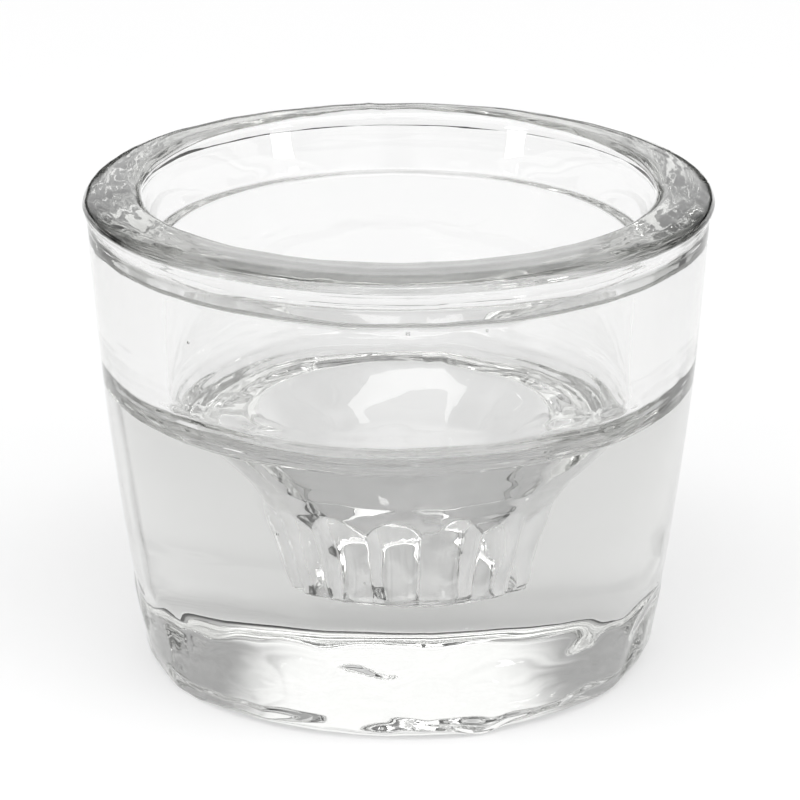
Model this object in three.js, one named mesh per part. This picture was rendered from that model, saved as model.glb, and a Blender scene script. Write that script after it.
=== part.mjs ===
// Two-way candle holder in clear pressed glass: one solid moulded piece.
//
// A wide recess in the top seats a tealight on a narrow ledge. Below the ledge
// a flare leads down into a fluted socket that grips the foot of a taper candle.
// The glass under the socket is solid and heavy, and the underside is slightly
// hollow, so that the holder stands on a flat foot ring.
//
// Millimetres, +Z up, origin at the middle of the footprint.

import * as THREE from 'three';

const SEGMENTS = 96;

// Outer shape, from the foot up.
const FOOT_RADIUS = 31.5;
const FOOT_CORNER = 2.2;
const SEAM_HEIGHT = 55.4;
const SEAM_RADIUS = 37.6;
const WALL_BULGE = 0.9;

// The rim is widest a little below its crest, and drops to a thin lip inside.
const RIM_RADIUS = 38;
const RIM_WIDEST_HEIGHT = 57.8;
const RIM_LOWER_ROUNDING = 1.8;
const CREST_RADIUS = 32.8;
const CREST_HEIGHT = 59.7;
const LIP_RADIUS = 31.1;
const LIP_HEIGHT = 58.3;

// Underside.
const FOOT_RING_INNER_RADIUS = 24;
const PUNT_SLOPE_WIDTH = 2;
const PUNT_DEPTH = 0.6;

// Recess for a tealight.
const SHELF_RADIUS = 29.9;
const SHELF_HEIGHT = 52;
const SHELF_ROUNDING = 0.5;
const RECESS_TOP_RADIUS = 28.4;
const RECESS_LOW_RADIUS = 28.1;
const LEDGE_HEIGHT = 32.4;
const LEDGE_CORNER_WIDTH = 6.1;
const LEDGE_CORNER_HEIGHT = 5.6;
const LEDGE_INNER_RADIUS = 18.9;

// Flare below the ledge.
const FLARE_RADIUS = 14.6;
const FLARE_HEIGHT = 28.5;
const THROAT_RADIUS = 11.6;
const THROAT_HEIGHT = 24.2;
const FLARE_SLOPE = 0.62;

// Fluted socket. The flutes are hollow, and they meet at ribs.
const FLUTE_FOOT_RADIUS = 9.1;
const FLUTE_COUNT = 12;
const FLUTE_DEPTH = 0.9;
const FIRST_RIB_DEGREES = 7.5;
const SOCKET_FLOOR_HEIGHT = 12.6;
const SOCKET_CORNER = 0.8;

const glass = new THREE.MeshStandardMaterial({
  color: 0xe9eeec,
  roughness: 0.05,
  metalness: 0,
  transparent: true,
  opacity: 0.35,
});

// Points on an upright elliptical arc about (x, y), both end points included.
function ellipseArc(x, y, radiusX, radiusY, startDegrees, endDegrees, steps) {
  const points = [];
  for (let i = 0; i <= steps; i += 1) {
    const angle = THREE.MathUtils.degToRad(
      THREE.MathUtils.lerp(startDegrees, endDegrees, i / steps),
    );
    points.push(new THREE.Vector2(x + radiusX * Math.cos(angle), y + radiusY * Math.sin(angle)));
  }
  return points;
}

// Radius of the outer wall: it widens upwards and bulges a little.
function wallRadius(height) {
  const t = height / SEAM_HEIGHT;
  return THREE.MathUtils.lerp(FOOT_RADIUS, SEAM_RADIUS, t) + 4 * WALL_BULGE * t * (1 - t);
}

function undersideProfile() {
  return [
    new THREE.Vector2(0, PUNT_DEPTH),
    new THREE.Vector2(FOOT_RING_INNER_RADIUS - PUNT_SLOPE_WIDTH, PUNT_DEPTH),
    new THREE.Vector2(FOOT_RING_INNER_RADIUS, 0),
  ];
}

function outerWallProfile() {
  const cornerX = wallRadius(FOOT_CORNER) - FOOT_CORNER;
  const points = ellipseArc(cornerX, FOOT_CORNER, FOOT_CORNER, FOOT_CORNER, -90, 0, 4);
  const steps = 7;
  for (let i = 1; i <= steps; i += 1) {
    const height = THREE.MathUtils.lerp(FOOT_CORNER, SEAM_HEIGHT, i / steps);
    points.push(new THREE.Vector2(wallRadius(height), height));
  }
  return points;
}

function rimProfile() {
  const lowerX = RIM_RADIUS - RIM_LOWER_ROUNDING;
  const lowerHeight = RIM_WIDEST_HEIGHT - SEAM_HEIGHT;
  const crestWidth = RIM_RADIUS - CREST_RADIUS;
  const crestRise = CREST_HEIGHT - RIM_WIDEST_HEIGHT;
  const lipWidth = CREST_RADIUS - LIP_RADIUS;
  const lipDrop = CREST_HEIGHT - LIP_HEIGHT;
  return [
    ...ellipseArc(lowerX, RIM_WIDEST_HEIGHT, RIM_LOWER_ROUNDING, lowerHeight, -52, -18, 2),
    ...ellipseArc(CREST_RADIUS, RIM_WIDEST_HEIGHT, crestWidth, crestRise, 0, 90, 6),
    ...ellipseArc(CREST_RADIUS, LIP_HEIGHT, lipWidth, lipDrop, 120, 180, 2),
  ];
}

function recessProfile() {
  const cornerX = RECESS_LOW_RADIUS - LEDGE_CORNER_WIDTH;
  const cornerY = LEDGE_HEIGHT + LEDGE_CORNER_HEIGHT;
  return [
    new THREE.Vector2(SHELF_RADIUS, SHELF_HEIGHT + SHELF_ROUNDING),
    new THREE.Vector2(RECESS_TOP_RADIUS, SHELF_HEIGHT),
    ...ellipseArc(cornerX, cornerY, LEDGE_CORNER_WIDTH, LEDGE_CORNER_HEIGHT, 0, -90, 6),
  ];
}

// The inner edge of the ledge rolls over into the flare.
function flareProfile() {
  const edge = new THREE.Vector2(LEDGE_INNER_RADIUS, LEDGE_HEIGHT);
  const rollOver = new THREE.Vector2(LEDGE_INNER_RADIUS - 0.9, LEDGE_HEIGHT - 0.2);
  const end = new THREE.Vector2(FLARE_RADIUS, FLARE_HEIGHT);
  return [
    ...new THREE.QuadraticBezierCurve(edge, rollOver, end).getPoints(5),
    new THREE.Vector2(THROAT_RADIUS, THROAT_HEIGHT),
  ];
}

// The socket wall before fluting, then the flat socket floor.
function socketProfile() {
  const cornerHeight = SOCKET_FLOOR_HEIGHT + SOCKET_CORNER;
  const floorRadius = FLUTE_FOOT_RADIUS - FLUTE_DEPTH - SOCKET_CORNER;
  const points = [];
  const steps = 5;
  for (let i = 1; i <= steps; i += 1) {
    const height = THREE.MathUtils.lerp(THROAT_HEIGHT, cornerHeight, i / steps);
    points.push(new THREE.Vector2(FLUTE_FOOT_RADIUS, height));
  }
  points.push(new THREE.Vector2(floorRadius, SOCKET_FLOOR_HEIGHT));
  points.push(new THREE.Vector2(0, SOCKET_FLOOR_HEIGHT));
  return points;
}

// Radius of the socket wall: flutes that widen upwards and run out in the flare.
function socketRadius(height, degrees) {
  const t = (height - SOCKET_FLOOR_HEIGHT) / (THROAT_HEIGHT - SOCKET_FLOOR_HEIGHT);
  const flute = THREE.MathUtils.lerp(FLUTE_FOOT_RADIUS, THROAT_RADIUS, t);
  const turn = ((degrees - FIRST_RIB_DEGREES) * FLUTE_COUNT) / 360;
  const across = 2 * (turn - Math.floor(turn)) - 1;
  const fluted = flute - FLUTE_DEPTH * (1 - Math.cos((across * Math.PI) / 2));
  const flare = THROAT_RADIUS - FLARE_SLOPE * (THROAT_HEIGHT - height);
  return Math.max(fluted, flare);
}

function cutFlutes(geometry) {
  const position = geometry.attributes.position;
  for (let i = 0; i < position.count; i += 1) {
    const x = position.getX(i);
    const y = position.getY(i);
    const z = position.getZ(i);
    const radius = Math.hypot(x, y);
    const inSocket = radius < THROAT_RADIUS && z > SOCKET_FLOOR_HEIGHT + SOCKET_CORNER / 2;
    if (inSocket && z < THROAT_HEIGHT) {
      const degrees = THREE.MathUtils.radToDeg(Math.atan2(y, x));
      const scale = socketRadius(z, degrees) / radius;
      position.setXY(i, x * scale, y * scale);
    }
  }
}

function makeGlassBody() {
  const profile = [
    ...undersideProfile(),
    ...outerWallProfile(),
    ...rimProfile(),
    ...recessProfile(),
    ...flareProfile(),
    ...socketProfile(),
  ];
  const geometry = new THREE.LatheGeometry(profile, SEGMENTS);
  geometry.rotateX(Math.PI / 2);
  cutFlutes(geometry);
  geometry.computeVertexNormals();
  const mesh = new THREE.Mesh(geometry, glass);
  mesh.name = 'glass_body';
  return mesh;
}

const candleHolder = new THREE.Group();
candleHolder.name = 'candle_holder';
candleHolder.add(makeGlassBody());

export default candleHolder;
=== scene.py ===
"""Looks of the pressed-glass candle holder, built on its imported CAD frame.

The CAD solid is hidden behind one fine glass mesh with the same driving dimensions. That mesh
adds what pressing leaves in real glass: a wavy foot, a rippled ledge, uneven walls, mould
marks and a few seeds. Dimensions are in millimetres until a mesh is made.
"""

import math
import random

import bmesh
import bpy
import numpy as np
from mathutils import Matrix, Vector, noise


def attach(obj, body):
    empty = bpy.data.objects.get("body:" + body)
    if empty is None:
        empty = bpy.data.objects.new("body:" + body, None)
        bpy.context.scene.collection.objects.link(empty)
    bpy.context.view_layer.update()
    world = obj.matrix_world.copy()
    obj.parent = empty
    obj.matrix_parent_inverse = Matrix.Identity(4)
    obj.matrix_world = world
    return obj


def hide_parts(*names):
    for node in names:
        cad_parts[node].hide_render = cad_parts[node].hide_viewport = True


MM = 0.001

# Outer shape, from the foot up.
FOOT_RADIUS = 31.5
FOOT_CORNER = 2.2
SEAM_HEIGHT = 55.4
SEAM_RADIUS = 37.6
WALL_BULGE = 0.9
RIM_RADIUS = 38.0
RIM_WIDEST_HEIGHT = 57.8
RIM_LOWER_ROUNDING = 1.8
SHOULDER_FULLNESS = 2.3
CREST_RADIUS = 32.8
CREST_HEIGHT = 59.7

# Underside.
FOOT_RING_INNER_RADIUS = 24.0
PUNT_SLOPE_WIDTH = 2.0
PUNT_DEPTH = 0.6

# Recess for a tealight.
LIP_RADIUS = 31.1
LIP_HEIGHT = 58.3
SHELF_RADIUS = 29.9
SHELF_HEIGHT = 52.0
SHELF_INNER_RADIUS = 28.4
SHELF_OUTER_ROUNDING = (0.5, 0.4)
SHELF_OUTER_START = SHELF_HEIGHT + 0.6
SHELF_INNER_ROUNDING = 0.4
SHELF_INNER_END = SHELF_HEIGHT - 0.3
RECESS_LOW_RADIUS = 28.1
LEDGE_HEIGHT = 32.4
LEDGE_CORNER_WIDTH = 6.1
LEDGE_CORNER_HEIGHT = 5.6
LEDGE_INNER_RADIUS = 18.9
LEDGE_EDGE_OVERHANG = 0.9
LEDGE_EDGE_DROP = 0.2

# Flared and fluted socket for a taper.
FLARE_HEIGHTS = [12.6, 24.2, 26.4, 28.5]
FLARE_RADII = [4.4, 11.6, 12.8, 14.6]
FLUTE_TOP_RADIUS = 11.6
FLUTE_TOP_HEIGHT = 24.2
FLUTE_FOOT_RADIUS = 9.1
SOCKET_FLOOR_HEIGHT = 12.6
SOCKET_CORNER = 0.8
RIB_COUNT = 12
RIB_DEPTH = 0.9
FIRST_RIB_DEGREES = 7.5

# The plunger sat a little to one side; over this width at the ledge the shift fades away.
SOCKET_OFFSET = 1.0
OFFSET_FADE_WIDTH = 5.0

SEGMENTS = 288

# Marks of the mould: a fin round the rim where its ring met the body mould, and upright seams.
FIN_HEIGHT = 0.14
SEAM_DEGREES = (-84, 96)
SEAM_MARK_DEPTH = 0.10

# The chilled skirt above the foot, whose corner wanders up and down.
SKIRT_HEIGHT = 10.0
FOOT_WANDER = 3.8
FOOT_RAGGEDNESS = 0.45

# Seeds: small bubbles caught in the walls.
SEED_COUNT = 14
SEED_RADII = (0.12, 0.3)
SEED_HEIGHTS = (8, 50)
SEED_DEPTHS = (2, 6)

# How uneven each zone of the glass is: heights in millimetres of broad, middling and fine waves,
# and of rings left by the plunger. Each layer of waves reads the noise at its own place.
WAVE_SIZES = (13.0, 5.0, 2.0)
LAYER_SHIFT = Vector((17.3, 5.1, 9.7))
RING_SPACING = 1.7
RING_WANDER = 2.5
BLEND_ROWS = 3
UNEVENNESS = {
    "underside": (0.14, 0.07, 0.008, 0.0),
    "foot": (0.25, 0.25, 0.05, 0.0),
    "skirt": (0.35, 0.30, 0.04, 0.0),
    "wall": (0.07, 0.010, 0.001, 0.0),
    "rim": (0.12, 0.08, 0.030, 0.018),
    "lip": (0.04, 0.02, 0.008, 0.0),
    "shelf": (0.06, 0.08, 0.04, 0.0),
    "recess": (0.05, 0.010, 0.0, 0.0),
    "corner": (0.15, 0.12, 0.05, 0.06),
    "ledge": (0.25, 0.08, 0.03, 0.0),
    "flare": (0.25, 0.16, 0.03, 0.0),
    "socket": (0.45, 0.38, 0.04, 0.0),
    "floor": (0.15, 0.10, 0.0, 0.0),
}

# Soda-lime glass, a little grey.
GLASS_IOR = 1.52
GLASS_TINT = (0.5, 0.505, 0.485, 1)
GLASS_DENSITY = 12.0

# Camera, in metres and degrees.
CAMERA_ELEVATION = 19.98
CAMERA_DISTANCE = 0.461
CAMERA_TARGET_HEIGHT = 0.03142
CAMERA_LENS = 168.02
CAMERA_SHIFT = 0.0018

# The floor is a sheet of white acrylic, lit softly from below.
FLOOR_SIZE = 1.3
FLOOR_GAP = 0.00005
FLOOR_COLOUR = (0.55, 0.55, 0.55, 1)
FLOOR_GLOW = 0.37

# The studio around the holder: soft patches as (azimuth, elevation, core half angle,
# outer half angle, brightness), each painted over the ones before it.
HORIZON_TOP = 12
HORIZON_BRIGHTNESS = 0.03
SURROUNDINGS = 1.4
PATCHES = [
    (0, 90, 35, 55, 0.12),
    (50, 22, 12, 32, 0.5),
    (-50, 22, 12, 32, 0.5),
    (0, 20, 6, 32, 1.5),
    (180, 40, 30, 55, 1.7),
    (180, 16, 6, 14, 0.06),
]

# Softboxes as (name, azimuth, elevation, size in metres, radiance), all aimed at the holder.
LIGHT_DISTANCE = 0.9
LIGHT_AIM_HEIGHT = 0.03
LIGHTS = [
    ("overhead", 180, 76, (1.2, 0.24), 3.4),
    ("softbox_left", -124, 6, (0.15, 0.12), 14),
    ("softbox_right", 124, 6, (0.15, 0.12), 14),
]


def arc(x, y, radius_x, radius_y, start_degrees, end_degrees, steps, fullness=2.0):
    """Points on an axis-aligned elliptical arc about (x, y); fullness over 2 squares it off."""
    points = []
    for angle in np.radians(np.linspace(start_degrees, end_degrees, steps + 1)):
        across = math.cos(angle)
        up = math.sin(angle)
        point_x = x + radius_x * math.copysign(abs(across) ** (2 / fullness), across)
        point_y = y + radius_y * math.copysign(abs(up) ** (2 / fullness), up)
        points.append((point_x, point_y))
    return points


def line(start, end, steps):
    """Points after start, up to and including end."""
    points = []
    for t in np.linspace(0, 1, steps + 1)[1:]:
        x = start[0] + (end[0] - start[0]) * t
        y = start[1] + (end[1] - start[1]) * t
        points.append((x, y))
    return points


def wall_radius(height):
    """Radius of the outer wall: it widens upwards and bulges a little."""
    t = height / SEAM_HEIGHT
    return FOOT_RADIUS + (SEAM_RADIUS - FOOT_RADIUS) * t + 4 * WALL_BULGE * t * (1 - t)


def flare_radius(height):
    """Radius of the flare, which goes on as a cone behind the ribs."""
    return float(np.interp(height, FLARE_HEIGHTS, FLARE_RADII))


def flute_radius(height, degrees):
    """Radius of the fluted socket wall: hollow flutes that meet at ribs."""
    t = (height - SOCKET_FLOOR_HEIGHT) / (FLUTE_TOP_HEIGHT - SOCKET_FLOOR_HEIGHT)
    middle = FLUTE_FOOT_RADIUS + (FLUTE_TOP_RADIUS - FLUTE_FOOT_RADIUS) * t
    turn = (degrees - FIRST_RIB_DEGREES) * RIB_COUNT / 360
    across = 2 * (turn - math.floor(turn)) - 1
    return middle - RIB_DEPTH * (1 - math.cos(math.pi * across / 2))


def underside():
    """The shallow punt, from the axis to the foot ring."""
    flat = FOOT_RING_INNER_RADIUS - PUNT_SLOPE_WIDTH
    points = [(r, PUNT_DEPTH) for r in np.linspace(0, flat, 27)]
    for t in np.linspace(0, 1, 9)[1:]:
        points.append((flat + PUNT_SLOPE_WIDTH * t, PUNT_DEPTH * (1 + math.cos(math.pi * t)) / 2))
    return points


def foot():
    """The flat foot ring and its rounded corner."""
    corner = wall_radius(FOOT_CORNER) - FOOT_CORNER
    points = line((FOOT_RING_INNER_RADIUS, 0.0), (corner - 0.4, 0.0), 9)
    points += arc(corner, FOOT_CORNER, FOOT_CORNER, FOOT_CORNER, -90, -4, 16)
    return points


def skirt():
    """The lowest part of the wall, where the glass chilled first and is most uneven."""
    return [(wall_radius(h), h) for h in np.linspace(FOOT_CORNER + 0.4, SKIRT_HEIGHT, 12)]


def wall():
    """The outer wall, up to the seam under the rim."""
    return [(wall_radius(h), h) for h in np.linspace(SKIRT_HEIGHT + 0.7, SEAM_HEIGHT - 0.35, 50)]


def rim():
    """From the seam out to the fin, over the shoulder and crest, and down to the lip."""
    points = [(SEAM_RADIUS - 0.05, SEAM_HEIGHT)]
    points += arc(
        RIM_RADIUS - RIM_LOWER_ROUNDING,
        RIM_WIDEST_HEIGHT,
        RIM_LOWER_ROUNDING,
        RIM_WIDEST_HEIGHT - SEAM_HEIGHT,
        -48,
        -6,
        8,
    )
    points.append((RIM_RADIUS + FIN_HEIGHT, RIM_WIDEST_HEIGHT))
    points += arc(
        CREST_RADIUS,
        RIM_WIDEST_HEIGHT,
        RIM_RADIUS - CREST_RADIUS,
        CREST_HEIGHT - RIM_WIDEST_HEIGHT,
        4,
        90,
        25,
        SHOULDER_FULLNESS,
    )
    rounding = arc(
        CREST_RADIUS, LIP_HEIGHT, CREST_RADIUS - LIP_RADIUS, CREST_HEIGHT - LIP_HEIGHT, 90, 180, 12
    )
    return points + rounding[1:]


def lip():
    """The inner face of the rim, down to the shelf."""
    return line((LIP_RADIUS, LIP_HEIGHT), (SHELF_RADIUS, SHELF_OUTER_START), 12)


def shelf():
    """The narrow shelf under the lip, rounded at both sides."""
    width, height = SHELF_OUTER_ROUNDING
    points = arc(SHELF_RADIUS - width, SHELF_OUTER_START, width, height, 0, -80, 4)[1:]
    inner = SHELF_INNER_ROUNDING
    return points + arc(SHELF_INNER_RADIUS + inner, SHELF_INNER_END, inner, inner, 90, 180, 4)


def recess():
    """The wall of the recess."""
    top = (SHELF_INNER_RADIUS, SHELF_INNER_END)
    return line(top, (RECESS_LOW_RADIUS, LEDGE_HEIGHT + LEDGE_CORNER_HEIGHT + 0.4), 26)


def corner():
    """The wide rounded corner between the recess wall and the ledge."""
    return arc(
        RECESS_LOW_RADIUS - LEDGE_CORNER_WIDTH,
        LEDGE_HEIGHT + LEDGE_CORNER_HEIGHT,
        LEDGE_CORNER_WIDTH,
        LEDGE_CORNER_HEIGHT,
        0,
        -90,
        26,
    )


def ledge():
    """Flat ledge and its rounded inner edge."""
    start = (RECESS_LOW_RADIUS - LEDGE_CORNER_WIDTH, LEDGE_HEIGHT)
    edge = (LEDGE_INNER_RADIUS, LEDGE_HEIGHT)
    control = (LEDGE_INNER_RADIUS - LEDGE_EDGE_OVERHANG, LEDGE_HEIGHT - LEDGE_EDGE_DROP)
    end = (FLARE_RADII[-1], FLARE_HEIGHTS[-1])
    points = line(start, edge, 6)
    for t in np.linspace(0, 1, 15)[1:]:
        weights = ((1 - t) ** 2, 2 * t * (1 - t), t * t)
        radius = sum(w * p[0] for w, p in zip(weights, (edge, control, end)))
        height = sum(w * p[1] for w, p in zip(weights, (edge, control, end)))
        points.append((radius, height))
    return points


def flare():
    """The flare, from the ledge down to the top of the flutes."""
    heights = np.linspace(FLARE_HEIGHTS[-1], FLUTE_TOP_HEIGHT, 18)[1:]
    return [(flare_radius(h), h) for h in heights]


def socket():
    """The socket wall; make_ring widens it to the flutes."""
    heights = np.linspace(FLUTE_TOP_HEIGHT, SOCKET_FLOOR_HEIGHT + SOCKET_CORNER, 44)[1:]
    return [(flare_radius(h), h) for h in heights]


def floor():
    """The corner at the foot of the socket, then its floor in to the axis."""
    inner = FLUTE_FOOT_RADIUS - RIB_DEPTH - SOCKET_CORNER
    turn = arc(inner, SOCKET_FLOOR_HEIGHT + SOCKET_CORNER, SOCKET_CORNER, SOCKET_CORNER, -12, -90, 5)
    return turn + [(r, SOCKET_FLOOR_HEIGHT) for r in np.linspace(inner - 0.6, 0, 10)]


# The zones in order along the profile. Each is looked up in UNEVENNESS by its function's name.
ZONES = (underside, foot, skirt, wall, rim, lip, shelf, recess, corner, ledge, flare, socket, floor)


def make_profile():
    """Profile points from the axis under the foot to the axis on the socket floor, and the
    unevenness at each, blended where zones meet."""
    points = []
    waves = []
    for zone in ZONES:
        zone_points = zone()
        points += zone_points
        waves += [UNEVENNESS[zone.__name__]] * len(zone_points)
    waves = np.array(waves)
    kernel = np.hanning(2 * BLEND_ROWS + 3)[1:-1]
    kernel /= kernel.sum()
    padded = np.pad(waves, ((BLEND_ROWS, BLEND_ROWS), (0, 0)), mode="edge")
    blended = np.stack([np.convolve(column, kernel, mode="valid") for column in padded.T], 1)
    return np.array(points), blended


def profile_normals(points):
    """Outward normals: the profile runs with the glass on its left."""
    along = np.gradient(points, axis=0)
    along /= np.linalg.norm(along, axis=1)[:, None]
    return np.stack([along[:, 1], -along[:, 0]], 1)


def wave_height(position, along, heights):
    """Smooth noise waves, plus the plunger's rings along the profile, in millimetres."""
    total = 0.0
    for layer, (size, height) in enumerate(zip(WAVE_SIZES, heights)):
        if height > 0:
            total += height * noise.noise(Vector(position) / size + LAYER_SHIFT * layer)
    if heights[-1] > 0:
        wander = RING_WANDER * noise.noise(Vector(position) / WAVE_SIZES[0])
        total += heights[-1] * math.sin(2 * math.pi * along / RING_SPACING + wander)
    return total


def foot_wander(position):
    """How far the foot corner climbs or sinks here, in millimetres."""
    corner_fade = position[2] / FOOT_CORNER * max(0.0, 1 - position[2] / SKIRT_HEIGHT)
    around = Vector((position[0], position[1], 0))
    broad = noise.noise(around / WAVE_SIZES[0])
    ragged = noise.noise(around / WAVE_SIZES[1] + LAYER_SHIFT)
    return FOOT_WANDER * corner_fade * (broad + FOOT_RAGGEDNESS * ragged)


def seam_mark(degrees):
    """Height of the upright mould seams at this angle: a ridge that falls to nothing in a segment."""
    nearest = min(abs((degrees - seam + 180) % 360 - 180) for seam in SEAM_DEGREES)
    return SEAM_MARK_DEPTH * max(0.0, 1 - nearest * SEGMENTS / 360)


def socket_shift(radius, height):
    """How far this ring of the socket is off centre; the shift fades out at the ledge."""
    outer = LEDGE_INNER_RADIUS + 1
    in_height = SOCKET_FLOOR_HEIGHT - 1 <= height <= LEDGE_HEIGHT + 1
    if not in_height or radius > outer:
        return 0.0
    fade = (outer - radius) / OFFSET_FADE_WIDTH
    return SOCKET_OFFSET * min(1.0, max(0.0, fade))


def make_ring(radius, height, normal, along, heights):
    """One ring of glass vertices, in metres."""
    in_flutes = SOCKET_FLOOR_HEIGHT + 0.3 < height < FLUTE_TOP_HEIGHT
    is_socket = radius < FLUTE_TOP_RADIUS and in_flutes
    is_outside = radius > LIP_RADIUS and height > FOOT_CORNER
    is_foot = radius > FOOT_RING_INNER_RADIUS and height < SKIRT_HEIGHT
    shift = socket_shift(radius, height)
    ring = []
    for k in range(SEGMENTS):
        degrees = 360 * k / SEGMENTS
        east = math.cos(math.radians(degrees))
        north = math.sin(math.radians(degrees))
        r = max(radius, flute_radius(height, degrees)) if is_socket else radius
        push = wave_height((r * east, r * north, height), along, heights)
        if is_outside:
            push += seam_mark(degrees)
        r += push * normal[0]
        z = height + push * normal[1]
        if is_foot:
            z += foot_wander((r * east, r * north, height))
        z = max(0.0, z)  # no wave reaches through the surface it stands on
        ring.append(((r * east + shift) * MM, r * north * MM, z * MM))
    return ring


def add_seeds(vertices, faces):
    """Small bubbles in the thick glass; their faces point into the bubble."""
    chance = random.Random(7)
    for _ in range(SEED_COUNT):
        angle = chance.uniform(0, 2 * math.pi)
        height = chance.uniform(*SEED_HEIGHTS)
        radius = wall_radius(height) - chance.uniform(*SEED_DEPTHS)
        size = chance.uniform(*SEED_RADII)
        centre = Vector((radius * math.cos(angle), radius * math.sin(angle), height))
        ball = bmesh.new()
        bmesh.ops.create_icosphere(ball, subdivisions=2, radius=size)
        base = len(vertices)
        vertices += [tuple((centre + v.co) * MM) for v in ball.verts]
        faces += [tuple(base + v.index for v in reversed(f.verts)) for f in ball.faces]
        ball.free()


def make_glass():
    """The whole holder as one closed mesh, in metres."""
    points, waves = make_profile()
    normals = profile_normals(points)
    lengths = np.linalg.norm(np.diff(points, axis=0), axis=1)
    alongs = np.concatenate([[0], np.cumsum(lengths)])
    vertices = [(0.0, 0.0, PUNT_DEPTH * MM)]
    for row in range(1, len(points) - 1):
        vertices += make_ring(*points[row], normals[row], alongs[row], waves[row])
    vertices.append((SOCKET_OFFSET * MM, 0.0, SOCKET_FLOOR_HEIGHT * MM))

    faces = []
    last_ring = len(vertices) - 1 - SEGMENTS
    for k in range(SEGMENTS):
        turn = (k + 1) % SEGMENTS
        faces.append((0, 1 + turn, 1 + k))
        faces.append((last_ring + k, last_ring + turn, last_ring + SEGMENTS))
        for base in range(1, last_ring, SEGMENTS):
            up = base + SEGMENTS
            faces.append((base + k, base + turn, up + turn, up + k))
    add_seeds(vertices, faces)

    mesh = bpy.data.meshes.new("glass")
    mesh.from_pydata(vertices, [], faces)
    mesh.shade_smooth()
    glass = bpy.data.objects.new("pressed_glass", mesh)
    bpy.context.scene.collection.objects.link(glass)
    return glass


def glass_material():
    """Clear smooth glass that absorbs a little light."""
    material = bpy.data.materials.new("clear_glass")
    material.use_nodes = True
    tree = material.node_tree
    shader = tree.nodes["Principled BSDF"]
    shader.inputs["Base Color"].default_value = (1, 1, 1, 1)
    shader.inputs["Roughness"].default_value = 0.0
    shader.inputs["IOR"].default_value = GLASS_IOR
    shader.inputs["Transmission Weight"].default_value = 1.0
    absorb = tree.nodes.new("ShaderNodeVolumeAbsorption")
    absorb.inputs["Color"].default_value = GLASS_TINT
    absorb.inputs["Density"].default_value = GLASS_DENSITY
    tree.links.new(absorb.outputs["Volume"], tree.nodes["Material Output"].inputs["Volume"])
    return material


def make_camera():
    """A long lens in front of the holder, a little above it."""
    elevation = math.radians(CAMERA_ELEVATION)
    target = Vector((0, 0, CAMERA_TARGET_HEIGHT))
    away = Vector((0, -math.cos(elevation), math.sin(elevation)))
    data = bpy.data.cameras.new("camera")
    data.lens = CAMERA_LENS
    data.sensor_width = 36
    data.shift_x = CAMERA_SHIFT
    data.clip_start = 0.01
    camera = bpy.data.objects.new("camera", data)
    camera.location = target + away * CAMERA_DISTANCE
    camera.rotation_euler = (target - camera.location).to_track_quat("-Z", "Y").to_euler()
    bpy.context.scene.collection.objects.link(camera)
    bpy.context.scene.camera = camera


def make_floor():
    """The glowing white floor, just clear of the glass."""
    bpy.ops.mesh.primitive_plane_add(size=FLOOR_SIZE, location=(0, 0, -FLOOR_GAP))
    plane = bpy.context.object
    plane.name = "floor"
    material = bpy.data.materials.new("floor_white")
    material.use_nodes = True
    shader = material.node_tree.nodes["Principled BSDF"]
    shader.inputs["Base Color"].default_value = FLOOR_COLOUR
    shader.inputs["Roughness"].default_value = 1.0
    shader.inputs["Specular IOR Level"].default_value = 0.0
    shader.inputs["Emission Color"].default_value = (1, 1, 1, 1)
    shader.inputs["Emission Strength"].default_value = FLOOR_GLOW
    plane.data.materials.append(material)


def direction(azimuth, elevation):
    """Unit vector; azimuth 0 is behind the holder, 90 to its right, 180 toward the camera."""
    a = math.radians(azimuth)
    e = math.radians(elevation)
    return Vector((math.sin(a) * math.cos(e), math.cos(a) * math.cos(e), math.sin(e)))


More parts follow.
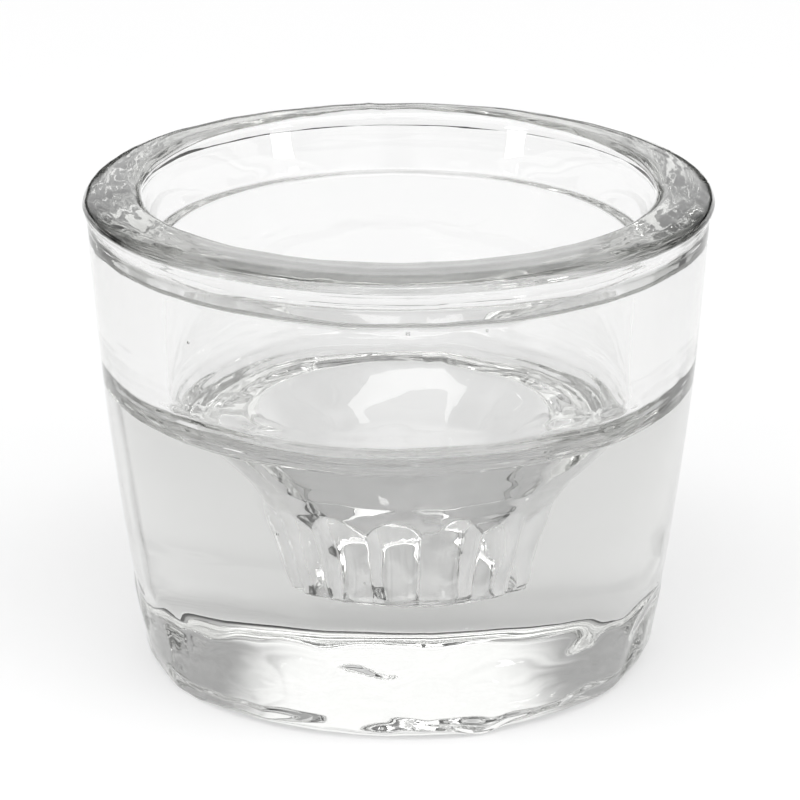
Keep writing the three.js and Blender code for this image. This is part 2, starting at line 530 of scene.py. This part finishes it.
def make_world():
    """The studio: the patches over the surroundings, darkened along the horizon."""
    world = bpy.data.worlds.new("studio")
    bpy.context.scene.world = world
    world.use_nodes = True
    tree = world.node_tree
    coordinates = tree.nodes.new("ShaderNodeTexCoord")
    previous = None
    for azimuth, elevation, core, outer, brightness in PATCHES:
        toward = tree.nodes.new("ShaderNodeVectorMath")
        toward.operation = "DOT_PRODUCT"
        toward.inputs[1].default_value = direction(azimuth, elevation)
        tree.links.new(coordinates.outputs["Generated"], toward.inputs[0])
        fade = tree.nodes.new("ShaderNodeMapRange")
        fade.interpolation_type = "SMOOTHSTEP"
        fade.inputs["From Min"].default_value = math.cos(math.radians(outer))
        fade.inputs["From Max"].default_value = math.cos(math.radians(core))
        tree.links.new(toward.outputs["Value"], fade.inputs["Value"])
        paint = tree.nodes.new("ShaderNodeMix")
        paint.inputs["A"].default_value = SURROUNDINGS
        paint.inputs["B"].default_value = brightness
        tree.links.new(fade.outputs["Result"], paint.inputs["Factor"])
        if previous:
            tree.links.new(previous, paint.inputs["A"])
        previous = paint.outputs["Result"]
    split = tree.nodes.new("ShaderNodeSeparateXYZ")
    tree.links.new(coordinates.outputs["Generated"], split.inputs["Vector"])
    rise = tree.nodes.new("ShaderNodeMapRange")
    rise.interpolation_type = "SMOOTHSTEP"
    rise.inputs["From Min"].default_value = math.sin(math.radians(HORIZON_TOP / 4))
    rise.inputs["From Max"].default_value = math.sin(math.radians(HORIZON_TOP))
    rise.inputs["To Min"].default_value = HORIZON_BRIGHTNESS
    tree.links.new(split.outputs["Z"], rise.inputs["Value"])
    total = tree.nodes.new("ShaderNodeMath")
    total.operation = "MULTIPLY"
    tree.links.new(previous, total.inputs[0])
    tree.links.new(rise.outputs["Result"], total.inputs[1])
    tree.links.new(total.outputs["Value"], tree.nodes["Background"].inputs["Strength"])
    tree.nodes["Background"].inputs["Color"].default_value = (1, 1, 1, 1)


def area_light(name, azimuth, elevation, size, radiance):
    """A rectangular softbox aimed at the holder."""
    data = bpy.data.lights.new(name, "AREA")
    data.shape = "RECTANGLE"
    data.size = size[0]
    data.size_y = size[1]
    data.energy = radiance * math.pi * size[0] * size[1]
    light = bpy.data.objects.new(name, data)
    away = direction(azimuth, elevation)
    light.location = Vector((0, 0, LIGHT_AIM_HEIGHT)) + away * LIGHT_DISTANCE
    light.rotation_euler = (-away).to_track_quat("-Z", "Y").to_euler()
    bpy.context.scene.collection.objects.link(light)


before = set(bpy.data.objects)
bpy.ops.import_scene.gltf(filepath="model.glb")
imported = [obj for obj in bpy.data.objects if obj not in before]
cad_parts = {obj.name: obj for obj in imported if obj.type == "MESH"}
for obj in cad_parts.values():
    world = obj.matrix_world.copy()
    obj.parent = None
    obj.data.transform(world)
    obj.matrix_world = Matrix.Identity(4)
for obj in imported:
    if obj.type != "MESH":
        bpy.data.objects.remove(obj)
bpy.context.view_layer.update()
make_camera()
make_floor()
make_world()
for light in LIGHTS:
    area_light(*light)

glass = make_glass()
glass.data.materials.append(glass_material())
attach(glass, "root")
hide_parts("glass_body")

scene = bpy.context.scene
scene.view_settings.view_transform = "Standard"
scene.cycles.max_bounces = 24
scene.cycles.transmission_bounces = 24
scene.cycles.glossy_bounces = 16
scene.cycles.diffuse_bounces = 3
